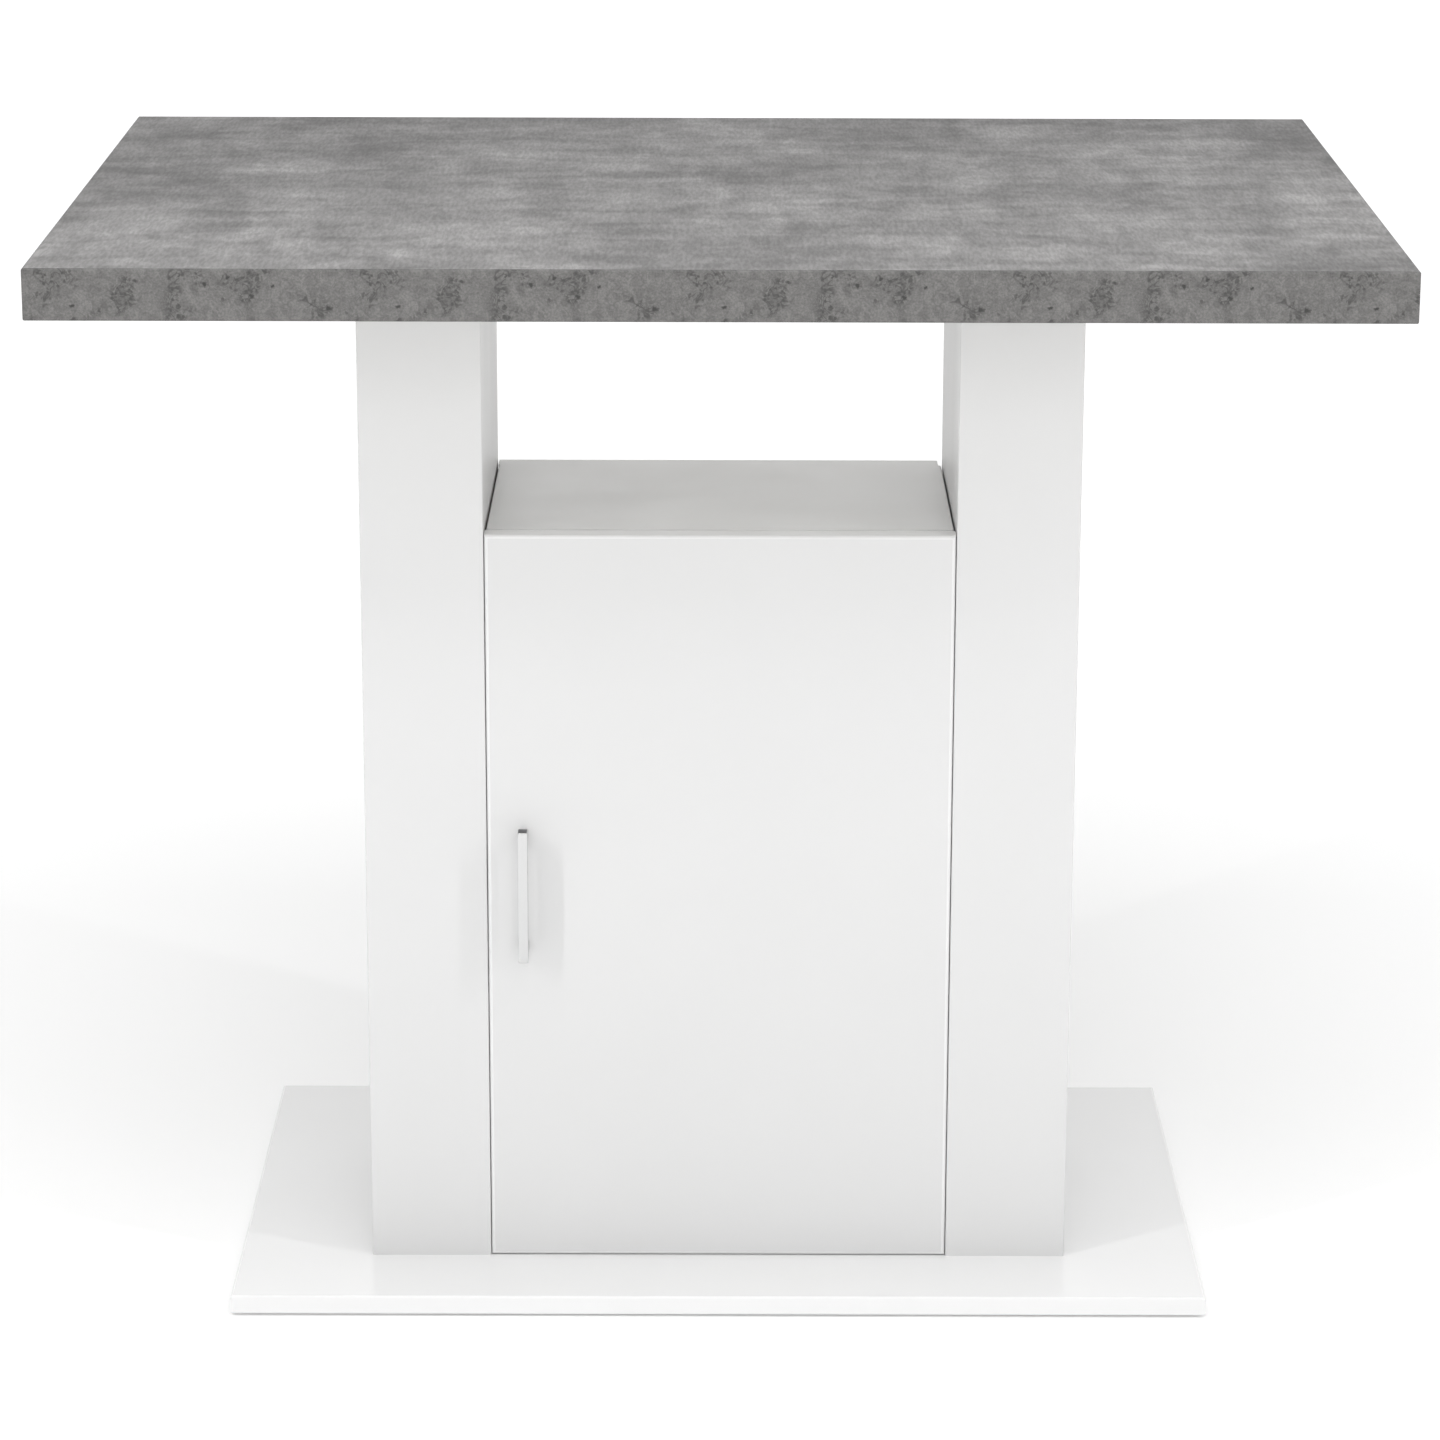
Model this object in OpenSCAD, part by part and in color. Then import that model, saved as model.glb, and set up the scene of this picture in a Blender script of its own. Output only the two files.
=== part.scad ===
/* [Worktop] */
// Width of the worktop
top_w = 1050; // [960:5:1400]
// Depth of the worktop
top_d = 750; // [620:5:900]
// Thickness of the worktop with its laminates
top_t = 40; // [34:1:60]
// Height of the worktop's surface above the floor
top_h = 900; // [860:5:960]
// Thickness of the laminate and of the backing sheet
laminate_t = 0.8; // [0.6:0.1:1.5]
// Thickness of the worktop's edging strips
top_edging_t = 1.5; // [1:0.1:3]

/* [Columns] */
// Clear width between the two columns
opening_w = 383; // [340:1:480]
// Width of one column
column_w = 100; // [90:1:140]
// Depth of the columns and of the closed cabinet
column_d = 275; // [250:1:340]
// How far the columns stand forward of the worktop's centre
column_front = 160; // [130:1:180]
// Height of the blocks at the top and foot of each column
block_h = 40; // [30:1:60]

/* [Boards] */
// Thickness of the carcass, side and base boards
board_t = 16; // [15:0.5:19]
// Thickness of the door and of the front and back panels
front_t = 19; // [17:0.5:22]
// Rounding of the panels' long arrises
arris_r = 1.2; // [0.4:0.1:1.5]
// Thickness of the base's edging strips
base_edging_t = 2; // [1:0.1:2.5]

/* [Cabinet] */
// Height of the open shelf, the cabinet's top, above the floor
cabinet_top_z = 643; // [560:1:700]
// Gap between the cabinet and each column
cabinet_gap = 1.5; // [0.5:0.1:3]
// Gap between the back panel and the left column
back_gap_left = 1; // [0.5:0.1:4]
// Gap between the back panel and the right column
back_gap_right = 4; // [0.5:0.1:4.5]
// Height of the adjustable shelf above the cabinet floor
shelf_rise = 290; // [200:1:340]
// Clearance between the adjustable shelf and each side
shelf_gap = 1; // [0.5:0.1:2]
// How far the adjustable shelf is set back from the front
shelf_set_back = 20; // [15:1:40]
// Diameter of a shelf pin
pin_d = 5; // [4:0.5:6]

/* [Door] */
// Gap between the door and each column
door_gap = 0.5; // [0.5:0.1:3]
// Gap under the door
door_foot_gap = 0.5; // [0.5:0.1:5]
// Thickness of the door's edging strips, and the radius of its arrises
door_edging_t = 3; // [2.5:0.1:3]
// Thickness of the buffers between the door and the cabinet
buffer_t = 1; // [0.9:0.1:2]
// Diameter of a buffer
buffer_d = 9; // [6:0.5:12]

/* [Handle] */
// Length of the handle bar
handle_l = 112; // [105:1:160]
// Distance between the handle's two screws
handle_pitch = 96; // [64:1:96]
// Width of the handle bar
handle_w = 8; // [7:0.5:12]
// Depth of the handle bar
handle_d = 12; // [8:0.5:14]
// How far the handle stands out from the door
handle_reach = 24; // [22:0.5:40]
// Distance of the handle's centre line from the door's free edge
handle_inset = 29.9; // [22:0.5:60]
// Height of the handle's centre above the floor
handle_z = 342; // [250:1:450]

/* [Hinges] */
// Distance of each hinge from the door's end
hinge_inset = 90; // [80:1:140]
// Outer diameter of a hinge cup
cup_d = 35; // [35:0.5:36]
// Depth of a hinge cup
cup_depth = 12; // [11.8:0.1:13]
// Wood left between the cup and the door's edge
cup_edge = 5; // [4.8:0.1:6]
// Sheet thickness of the cup
cup_wall = 1.2; // [0.8:0.1:1.3]
// Diameter of the pin that the link turns on
link_pin_d = 2; // [1.5:0.1:2.2]
// Radial running clearance between a link and its pin
link_fit = 0.06; // [0.03:0.01:0.09]

/* [Base] */
// Width of the base board with its edging
base_w = 806; // [700:1:900]
// Depth of the base board with its edging
base_d = 500; // [420:1:600]
// Thickness of the glides under the base board
glide_h = 2; // [1.5:0.1:5]
// Diameter of a glide
glide_d = 28; // [20:1:40]
// Distance of the outer glides from the base board's edges
glide_inset = 40; // [30:1:80]

/* [Fasteners] */
// Diameter of a wooden dowel
dowel_d = 8; // [6:0.5:8]
// Length of a wooden dowel
dowel_l = 30; // [26:1:34]
// Dowels along each joint of a column
dowel_count = 3; // [2:1:5]
// Diameter of a cam lock's housing
cam_d = 15; // [12:0.5:15]
// Depth of a cam lock's housing
cam_depth = 12; // [11:0.1:12.5]
// Distance of a cam lock from the board's end
cam_inset = 24; // [22:1:34]
// Shank diameter of the wood screws
screw_d = 4; // [3:0.1:4.5]
// Radial clearance round every fastener
fit = 0.1; // [0.05:0.01:0.2]

/* [Hidden] */
$fn = 48;

white = [0.93, 0.93, 0.92];
steel = [0.72, 0.73, 0.75];

// Heights
base_top = glide_h + board_t;
top_under = top_h - top_t;
column_h = top_under - base_top;

// Columns, from the opening outwards and from front to back
inner_x = opening_w / 2;
outer_x = inner_x + column_w;
column_mid_x = inner_x + column_w / 2;
front_y = -column_front;
back_y = front_y + column_d;
side_front = front_y + front_t;
side_back = back_y - front_t;
side_l = side_back - side_front;

// Cabinet between the columns
cab_x = inner_x - cabinet_gap;
cab_in_x = cab_x - board_t;
cab_front = side_front + buffer_t;
cab_back = side_back;
side_top = cabinet_top_z - board_t;
cab_floor = base_top + board_t;

// Holes along the cabinet's sides, set back as on system boards
row_set_back = 37;
row_pitch = 32;
row_holes = 5;
row_ys = [cab_front + row_set_back, cab_back - row_set_back];
pin_bite = 8;
pin_head_d = 7;
pin_head_l = 7;
pin_flat = 3;
shelf_under = cab_floor + shelf_rise;
pin_z = shelf_under - pin_flat;

// Door, its cups and its turning axis
door_w = opening_w - 2 * door_gap;
door_x = door_w / 2;
door_bottom = base_top + door_foot_gap;
door_h = cabinet_top_z - door_bottom;
hinge_zs = [door_bottom + hinge_inset, cabinet_top_z - hinge_inset];
cup_x = door_x - cup_edge - cup_d / 2;
handle_x = -door_x + handle_inset;

// How far a cut starts before the face that it goes into
lead = 1;

// Screws
drive_w = 1;
drive_depth = 1;
worktop_bite = 20;
foot_bite = 30;
cabinet_bite = 11;
side_bite = 11;
block_ys = [side_front + side_l / 4, side_back - side_l / 4];

// Moves a shape so that its own x and z directions point along two given directions
module place(origin, x_to, z_to) {
    y_to = cross(z_to, x_to);
    multmatrix([
        [x_to.x, y_to.x, z_to.x, origin.x],
        [x_to.y, y_to.y, z_to.y, origin.y],
        [x_to.z, y_to.z, z_to.z, origin.z]
    ]) children();
}

// Box between two corners
module block(low, high) {
    translate(low) cube(high - low);
}

// Rectangle with rounded corners, from the origin
module soft_rect(w, d, r) {
    translate([r, 0]) square([w - 2 * r, d]);
    translate([0, r]) square([w, d - 2 * r]);
    for (x = [r, w - r], y = [r, d - r]) translate([x, y]) circle(r);
}

// Standing panel between two corners, its upright arrises rounded
module upright_panel(low, high) {
    size = high - low;
    translate(low) linear_extrude(size.z) soft_rect(size.x, size.y, arris_r);
}

// Lying board between two corners, its arrises along the depth rounded
module lying_board(low, high) {
    size = high - low;
    place([low.x, high.y, low.z], [1, 0, 0], [0, -1, 0])
        linear_extrude(size.y) soft_rect(size.x, size.z, arris_r);
}

// Section of an edging strip: its outer arrises are rounded to its own thickness
module edging_section(t, h) {
    intersection() {
        square([t, h]);
        union() {
            translate([0, t]) square([t, h - 2 * t]);
            for (y = [t, h - t]) translate([0, y]) circle(t);
        }
    }
}

// Four strips round a board that lies centred on the origin, the long ones with rounded ends
module edging_frame(w, d, h, t) {
    for (m = [0, 1]) mirror([0, m, 0]) intersection() {
        place([-w / 2, -d / 2 + t, h], [0, -1, 0], [1, 0, 0]) linear_extrude(w) edging_section(t, h);
        place([-w / 2, -d / 2 + t, 0], [1, 0, 0], [0, -1, 0]) linear_extrude(t) soft_rect(w, h, t);
    }
    for (m = [0, 1]) mirror([m, 0, 0])
        place([-w / 2 + t, -d / 2 + t, 0], [-1, 0, 0], [0, 1, 0])
            linear_extrude(d - 2 * t) edging_section(t, h);
}

// Wood screw that points up, its countersunk head flush with z = 0
module wood_screw(l, d = screw_d) {
    difference() {
        rotate_extrude() polygon([[0, 0], [d, 0], [d / 2, d / 2], [d / 2, l - d], [0, l]]);
        for (a = [0, 90]) rotate(a)
            translate([-d / 2, -drive_w / 2, -drive_depth]) cube([d, drive_w, 2 * drive_depth]);
    }
}

// Countersunk hole that holds a wood screw with clearance all round
module wood_screw_hole(l, d = screw_d) {
    rotate_extrude() polygon([
        [0, -lead], [d + fit, -lead], [d + fit, fit], [d / 2 + fit, d / 2 + 2 * fit],
        [d / 2 + fit, l + fit], [0, l + fit]
    ]);
}

// Worktop: core, laminate, backing sheet and edging

module worktop_layer(low_z, high_z) {
    block([-top_w / 2 + top_edging_t, -top_d / 2 + top_edging_t, low_z],
        [top_w / 2 - top_edging_t, top_d / 2 - top_edging_t, high_z]);
}

// Screws that stand in the columns' top blocks and hold the worktop
module at_worktop_screws() {
    for (m = [0, 1], y = block_ys) mirror([m, 0, 0])
        translate([column_mid_x, y, top_under - block_h]) children();
}

module worktop_screws() {
    color(steel) at_worktop_screws() wood_screw(block_h + worktop_bite);
}

module worktop_core() {
    color([0.76, 0.64, 0.47]) difference() {
        worktop_layer(top_under + laminate_t, top_h - laminate_t);
        at_worktop_screws() wood_screw_hole(block_h + worktop_bite);
    }
}

module worktop_laminate() {
    color([0.6, 0.59, 0.58]) worktop_layer(top_h - laminate_t, top_h);
}

module worktop_backing() {
    color([0.85, 0.84, 0.81]) difference() {
        worktop_layer(top_under, top_under + laminate_t);
        at_worktop_screws() wood_screw_hole(block_h + worktop_bite);
    }
}

module worktop_edging() {
    color([0.47, 0.46, 0.45]) translate([0, 0, top_under])
        edging_frame(top_w, top_d, top_t, top_edging_t);
}

// Columns: the right one is modelled, and the left one is its mirror image

function dowel_z(i) = base_top + (i + 0.5) * column_h / dowel_count;
dowel_bite = front_t * 2 / 3;
dowel_slack = 0.5;

// Dowels that tie the two sides to the front and back panels
module column_dowel_set(grow, slack) {
    starts = [side_front - dowel_bite, side_back + dowel_bite - dowel_l];
    for (x = [inner_x + board_t / 2, outer_x - board_t / 2], y = starts, i = [0:dowel_count - 1])
        place([x, y - slack, dowel_z(i)], [1, 0, 0], [0, 1, 0])
            cylinder(d = dowel_d + 2 * grow, h = dowel_l + 2 * slack);
}

module column_dowels() {
    color([0.8, 0.66, 0.45]) column_dowel_set(0, 0);
}

// A column's panel, drilled for the dowels
module column_panel(x_low, x_high, y_low, y_high) {
    color(white) difference() {
        upright_panel([x_low, y_low, base_top], [x_high, y_high, top_under]);
        column_dowel_set(fit, dowel_slack);
    }
}

module column_front() {
    column_panel(inner_x, outer_x, front_y, side_front);
}

module column_back() {
    column_panel(inner_x, outer_x, side_back, back_y);
}

// A column's side, between the front and back panels
module column_side(x_low) {
    color(white) difference() {
        block([x_low, side_front, base_top], [x_low + board_t, side_back, top_under]);
        column_dowel_set(fit, dowel_slack);
        at_cabinet_column_screws() wood_screw_hole(board_t + cabinet_gap + side_bite);
    }
}

module column_outer() {
    column_side(outer_x - board_t);
}

module column_inner() {
    column_side(inner_x);
}

// A wooden block inside the column, at its top or its foot
module column_block(low_z) {
    block([inner_x + board_t, side_front, low_z], [outer_x - board_t, side_back, low_z + block_h]);
}

module column_top_block() {
    color([0.8, 0.68, 0.5]) difference() {
        column_block(top_under - block_h);
        at_worktop_screws() wood_screw_hole(block_h + worktop_bite);
    }
}

module column_foot_block() {
    color([0.8, 0.68, 0.5]) difference() {
        column_block(base_top);
        at_base_column_screws() wood_screw_hole(board_t + foot_bite);
    }
}

module on_left() {
    mirror([1, 0, 0]) children();
}

// Base board on glides, with screws up into the columns and the cabinet

module at_base_column_screws() {
    for (m = [0, 1], y = block_ys) mirror([m, 0, 0]) translate([column_mid_x, y, glide_h]) children();
}

module at_base_cabinet_screws() {
    x = cab_in_x / 2;
    for (m = [0, 1], y = block_ys) mirror([m, 0, 0]) translate([x, y, glide_h]) children();
}

module base_column_screws() {
    color(steel) at_base_column_screws() wood_screw(board_t + foot_bite);
}

module base_cabinet_screws() {
    color(steel) at_base_cabinet_screws() wood_screw(board_t + cabinet_bite);
}

glide_pin_d = 2;
glide_pin_l = 12;
glide_edge = 0.6;

// Glides: a disc with a softened lower edge and a nail
module at_glides() {
    far_x = base_w / 2 - glide_inset;
    far_y = base_d / 2 - glide_inset;
    for (x = [-far_x, 0, far_x], y = [-far_y, far_y]) translate([x, y, 0]) children();
}

module base_glides() {
    color([0.85, 0.85, 0.83]) at_glides() rotate_extrude() polygon([
        [0, 0], [glide_d / 2 - glide_edge, 0], [glide_d / 2, glide_edge], [glide_d / 2, glide_h],
        [glide_pin_d / 2, glide_h], [glide_pin_d / 2, glide_h + glide_pin_l],
        [0, glide_h + glide_pin_l]
    ]);
}

module glide_hole() {
    cylinder(d = glide_pin_d + 2 * fit, h = glide_h + glide_pin_l + fit);
}

module base_board() {
    color(white) difference() {
        block([-base_w / 2 + base_edging_t, -base_d / 2 + base_edging_t, glide_h],
            [base_w / 2 - base_edging_t, base_d / 2 - base_edging_t, base_top]);
        at_base_column_screws() wood_screw_hole(board_t + foot_bite);
        at_base_cabinet_screws() wood_screw_hole(board_t + cabinet_bite);
        at_glides() glide_hole();
    }
}

module base_edging() {
    color(white) translate([0, 0, glide_h]) edging_frame(base_w, base_d, board_t, base_edging_t);
}

// Cabinet boards

// Cam locks: a round housing in one board's face, and a bolt that reaches into the next board
cam_bolt_bite = 11;
cam_from_front = 40;
cam_from_end = 60;
bolt_r = 3;
bolt_shank_r = 3.4;
bolt_neck_r = 2;
bolt_start = 1;
bolt_head_l = 2;
bolt_neck_reach = 2;

module at_cam_locks() {
    back_zs = [cab_floor + cam_from_end, (cab_floor + side_top) / 2, side_top - cam_from_end];
    for (m = [0, 1]) mirror([m, 0, 0]) {
        for (y = [cab_front + cam_from_front, cab_back - cam_from_front]) {
            place([cab_in_x, y, side_top - cam_inset], [0, 0, 1], [-1, 0, 0]) children();
            place([cab_in_x - cam_inset, y, cab_floor], [1, 0, 0], [0, 0, 1]) children();
        }
        for (z = back_zs)
            place([cab_in_x, cab_back - cam_inset, z], [0, 1, 0], [-1, 0, 0]) children();
    }
}

// Turns a profile round the bolt's axis, which runs along X in the middle of the board
module along_bolt() {
    place([0, 0, -board_t / 2], [0, 0, -1], [1, 0, 0]) rotate_extrude() children();
}

module cam_lock() {
    difference() {
        translate([0, 0, -cam_depth]) cylinder(d = cam_d, h = cam_depth);
        along_bolt() square([bolt_r + fit, cam_d]);
        for (a = [0, 90]) rotate(a) translate([-cam_d / 4, -drive_w / 2, -drive_depth])
            cube([cam_d / 2, drive_w, 2 * drive_depth]);
    }
}

module cam_bolt() {
    head_end = bolt_start + bolt_head_l;
    neck_end = cam_d / 2 + bolt_neck_reach;
    reach = cam_inset + cam_bolt_bite;
    along_bolt() polygon([
        [0, bolt_start], [bolt_r, bolt_start], [bolt_r, head_end], [bolt_neck_r, head_end],
        [bolt_neck_r, neck_end], [bolt_shank_r, neck_end], [bolt_shank_r, cam_inset],
        [bolt_r, cam_inset], [bolt_r, reach], [0, reach]
    ]);
}

module cam_lock_hole() {
    translate([0, 0, -cam_depth - fit]) cylinder(d = cam_d + 2 * fit, h = cam_depth + fit + lead);
    along_bolt() square([bolt_shank_r + fit, cam_inset + fit]);
    along_bolt() square([bolt_r + fit, cam_inset + cam_bolt_bite + fit]);
}

module cabinet_cams() {
    color(steel) at_cam_locks() cam_lock();
}

module cabinet_cam_bolts() {
    color(steel) at_cam_locks() cam_bolt();
}

// Screws from inside the cabinet into the columns
screw_from_front = 90;
screw_from_back = 60;
screw_from_end = 60;
cabinet_screw_ys = [cab_front + screw_from_front, cab_back - screw_from_back];
cabinet_screw_zs = [cab_floor + screw_from_end, side_top - screw_from_end];

module at_cabinet_column_screws() {
    for (y = cabinet_screw_ys, z = cabinet_screw_zs)
        place([cab_in_x, y, z], [0, 1, 0], [1, 0, 0]) children();
}

module cabinet_column_screws() {
    l = board_t + cabinet_gap + side_bite;
    color(steel) for (m = [0, 1]) mirror([m, 0, 0]) at_cabinet_column_screws() wood_screw(l);
}

module cabinet_top() {
    color(white) difference() {
        lying_board([-cab_x, cab_front, side_top], [cab_x, cab_back, cabinet_top_z]);
        at_cam_locks() cam_lock_hole();
    }
}

module cabinet_bottom() {
    color(white) difference() {
        block([-cab_in_x, cab_front, base_top], [cab_in_x, cab_back, cab_floor]);
        at_cam_locks() cam_lock_hole();
        at_base_cabinet_screws() wood_screw_hole(board_t + cabinet_bite);
    }
}

// Rows of holes for the shelf pins, seen from the right side's inner face
module pin_holes() {
    half = (row_holes - 1) / 2;
    for (y = row_ys, i = [-half:half])
        place([cab_in_x, y, pin_z + i * row_pitch], [0, 1, 0], [1, 0, 0])
            translate([0, 0, -lead]) cylinder(d = pin_d + 2 * fit, h = pin_bite + fit + lead);
}

// The right side; its mirror image is the left one, which has no hinges
module cabinet_side() {
    l = board_t + cabinet_gap + side_bite;
    difference() {
        block([cab_in_x, cab_front, base_top], [cab_x, cab_back, side_top]);
        at_cam_locks() cam_lock_hole();
        at_cabinet_column_screws() wood_screw_hole(l);
        pin_holes();
    }
}

module cabinet_left_side() {
    color(white) on_left() cabinet_side();
}

module cabinet_right_side() {
    color(white) difference() {
        cabinet_side();
        at_hinges() at_plate_screws() wood_screw_hole(plate_wing_t + plate_bite);
    }
}

module cabinet_back() {
    color(white) difference() {
        upright_panel([-inner_x + back_gap_left, cab_back, base_top],
            [inner_x - back_gap_right, back_y, cabinet_top_z]);
        at_cam_locks() cam_lock_hole();
    }
}

module inner_shelf() {
    x = cab_in_x - shelf_gap;
    color(white) block([-x, cab_front + shelf_set_back, shelf_under],
        [x, cab_back - shelf_gap, shelf_under + board_t]);
}

// Shelf pins: a peg in the side and a head with a flat top
module shelf_pins() {
    color(steel) for (m = [0, 1], y = row_ys) mirror([m, 0, 0])
        place([cab_in_x, y, pin_z], [0, 1, 0], [1, 0, 0]) {
            cylinder(d = pin_d, h = pin_bite);
            intersection() {
                translate([0, 0, -pin_head_l]) cylinder(d = pin_head_d, h = pin_head_l);
                translate([-pin_head_d, -pin_head_d, -pin_head_l])
                    cube([2 * pin_head_d, pin_head_d + pin_flat, pin_head_l]);
            }
        }
}

// Door with its edging, buffers and handle

module door_panel() {
    color(white) difference() {
        block([-door_x + door_edging_t, front_y, door_bottom + door_edging_t],
            [door_x - door_edging_t, side_front, cabinet_top_z - door_edging_t]);
        at_hinges() cup_bore();
        at_hinges() at_cup_screws() wood_screw_hole(flange_t + cup_screw_bite);
        at_handle_screws() machine_screw_hole(front_t + lead);
    }
}

module door_edging() {
    color(white) translate([0, side_front, door_bottom + door_h / 2]) rotate([90, 0, 0])
        edging_frame(door_w, door_h, front_t, door_edging_t);
}

buffer_inset = 30;

module door_buffers() {
    x = -(cab_in_x + cab_x) / 2;
    color([0.9, 0.9, 0.9]) for (z = [door_bottom + buffer_inset, cabinet_top_z - buffer_inset])
        place([x, side_front, z], [1, 0, 0], [0, 1, 0]) cylinder(d = buffer_d, h = buffer_t);
}

handle_arris_r = 0.6;
handle_bite = 8;
handle_screw_d = 4;
handle_screw_head = 2.2;

module at_handle_screws() {
    for (z = [handle_z - handle_pitch / 2, handle_z + handle_pitch / 2])
        place([handle_x, side_front, z], [1, 0, 0], [0, -1, 0]) children();
}

// Machine screw that points up, its round head below z = 0
module machine_screw(l, d, head_r, head_h) {
    difference() {
        rotate_extrude() polygon([
            [0, -head_h], [head_r * 0.7, -head_h], [head_r, -head_h * 0.5], [head_r, 0],
            [d / 2, 0], [d / 2, l], [0, l]
        ]);
        for (a = [0, 90]) rotate(a) translate([-d / 2, -drive_w / 2, -head_h - lead])
            cube([d, drive_w, lead + drive_depth]);
    }
}

module machine_screw_hole(l, d = handle_screw_d) {
    translate([0, 0, -lead]) cylinder(d = d + 2 * fit, h = l + fit + lead);
}

module handle_screws() {
    l = front_t + handle_bite;
    color(steel) at_handle_screws() machine_screw(l, handle_screw_d, handle_screw_d, handle_screw_head);
}

module handle() {
    bar_y = front_y - handle_reach;
    color([0.78, 0.79, 0.81]) difference() {
        union() {
            translate([handle_x - handle_w / 2, bar_y, handle_z - handle_l / 2])
                linear_extrude(handle_l) soft_rect(handle_w, handle_d, handle_arris_r);
            for (z = [handle_z - handle_pitch / 2, handle_z + handle_pitch / 2])
                block([handle_x - handle_w / 2, bar_y + handle_d / 2, z - handle_w / 2],
                    [handle_x + handle_w / 2, front_y, z + handle_w / 2]);
        }
        at_handle_screws() machine_screw_hole(front_t + handle_bite);
    }
}

// Hinges, in a frame of their own: X inwards from the cabinet's right side, Y outwards to the front

cup_at = [cab_in_x - cup_x, cab_front - side_front];
cup_inner_r = cup_d / 2 - cup_wall;
flange_r = 19;
flange_t = 0.6;
cup_wing_w = 11;
cup_wing_l = 54;
wing_r = 3;
cup_screw_x = 9.5;
cup_screw_z = 22.5;
cup_screw_bite = 10;
cup_screw_d = 3.5;

// The link's pivot, elbow and tip, as offsets from the cup's centre
link_pivot_x = 12.6;
link_pivot_y = 7;
link_elbow_x = -9;
link_elbow_y = 8.7;
link_tip_x = -11;
link_tip_y = 6.7;
link_pivot = cup_at + [link_pivot_x, link_pivot_y];
link_elbow = cup_at + [link_elbow_x, link_elbow_y];
link_tip = cup_at + [link_tip_x, link_tip_y];
link_half_w = 1.6;
link_knuckle_r = 1.7;
link_eye_r = 2.4;
link_h = 6.6;
arm_wall = 1.2;
arm_space = 7.2;
arm_foot = 3;
arm_top = 17;
arm_front = -2;
arm_back = -66;
arm_nose_l = 4;
arm_eye_r = 2.2;
arm_screw_d = 4;
arm_screw_l = 9;
arm_screw_head_r = 3;
arm_screw_head = 1.4;
arm_screw_ys = [-row_set_back, -55];
plate_half_w = 3.4;
plate_front = -30;
plate_back = -62;
plate_wing_t = 2.5;
plate_wing_l = 42;
plate_wing_w = 12;
plate_screw_z = 16;
plate_bite = 11;

module at_hinges() {
    for (z = hinge_zs) at_hinge(z) children();
}

module at_hinge(z) {
    translate([cab_in_x, cab_front, z]) rotate(180) children();
}

module at_plate_screws() {
    for (z = [-plate_screw_z, plate_screw_z])
        place([plate_wing_t, -row_set_back, z], [0, 1, 0], [-1, 0, 0]) children();
}

module at_cup_screws() {
    for (z = [-cup_screw_z, cup_screw_z])
        place([cup_at.x + cup_screw_x, cup_at.y - flange_t, z], [1, 0, 0], [0, 1, 0]) children();
}

module at_arm_screws() {
    for (y = arm_screw_ys) place([arm_top, y, 0], [0, 1, 0], [-1, 0, 0]) children();
}

module cup_bore() {
    place([cup_at.x, cup_at.y - lead, 0], [1, 0, 0], [0, 1, 0])
        cylinder(d = cup_d, h = cup_depth + fit + lead);
}

module hinge_cups() {
    color(steel) at_hinges() difference() {
        place([cup_at.x, cup_at.y, 0], [1, 0, 0], [0, 1, 0]) difference() {
            union() {
                cylinder(r = cup_d / 2 - fit, h = cup_depth);
                translate([0, 0, -flange_t]) cylinder(r = flange_r, h = flange_t);
                translate([cup_screw_x - cup_wing_w / 2, -cup_wing_l / 2, -flange_t])
                    linear_extrude(flange_t) soft_rect(cup_wing_w, cup_wing_l, wing_r);
            }
            translate([0, 0, -flange_t - lead])
                cylinder(r = cup_inner_r, h = flange_t + lead + cup_depth - cup_wall);
        }
        at_cup_screws() wood_screw_hole(cup_screw_bite, cup_screw_d);
    }
}

module hinge_cup_screws() {
    color(steel) at_hinges() at_cup_screws() wood_screw(flange_t + cup_screw_bite, cup_screw_d);
}

// A bar of the link's width between two points
module link_bar(a, b) {
    d = b - a;
    translate(a) rotate(atan2(d.y, d.x)) translate([0, -link_half_w]) square([norm(d), 2 * link_half_w]);
}

module hinge_link() {
    translate([0, 0, -link_h / 2]) difference() {
        linear_extrude(link_h) {
            translate(link_pivot) circle(link_eye_r);
            link_bar(link_pivot, link_elbow);
            translate(link_elbow) circle(link_knuckle_r);
            link_bar(link_elbow, link_tip);
            translate(link_tip) circle(link_knuckle_r);
        }
        translate([link_pivot.x, link_pivot.y, -lead])
            cylinder(r = link_pin_d / 2 + link_fit, h = link_h + 2 * lead);
    }
}

module lower_hinge_link() {
    color(steel) at_hinge(hinge_zs[0]) hinge_link();
}

module upper_hinge_link() {
    color(steel) at_hinge(hinge_zs[1]) hinge_link();
}

module hinge_link_pins() {
    l = arm_space + 2 * arm_wall;
    color(steel) at_hinges() translate([link_pivot.x, link_pivot.y, -l / 2]) cylinder(d = link_pin_d, h = l);
}

// Side wall of the arm, with the nose that carries the link's pin
module arm_wall_outline() {
    translate([arm_foot, arm_back]) square([arm_top - arm_foot, arm_front - arm_back]);
    polygon([
        [arm_top / 2, arm_front - arm_nose_l], [arm_top, arm_front - arm_nose_l],
        [link_pivot.x + arm_eye_r, link_pivot.y], [link_pivot.x - arm_eye_r, link_pivot.y]
    ]);
    translate(link_pivot) circle(arm_eye_r);
}

module hinge_arms() {
    half = arm_space / 2 + arm_wall;
    color(steel) at_hinges() difference() {
        union() {
            for (z = [-half, half - arm_wall]) translate([0, 0, z])
                linear_extrude(arm_wall) arm_wall_outline();
            block([arm_top - arm_wall, arm_back, -half], [arm_top, arm_front, half]);
        }
        at_arm_screws() machine_screw_hole(arm_wall + lead, arm_screw_d);
        translate([link_pivot.x, link_pivot.y, -half - lead])
            cylinder(d = link_pin_d, h = 2 * (half + lead));
    }
}

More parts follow.
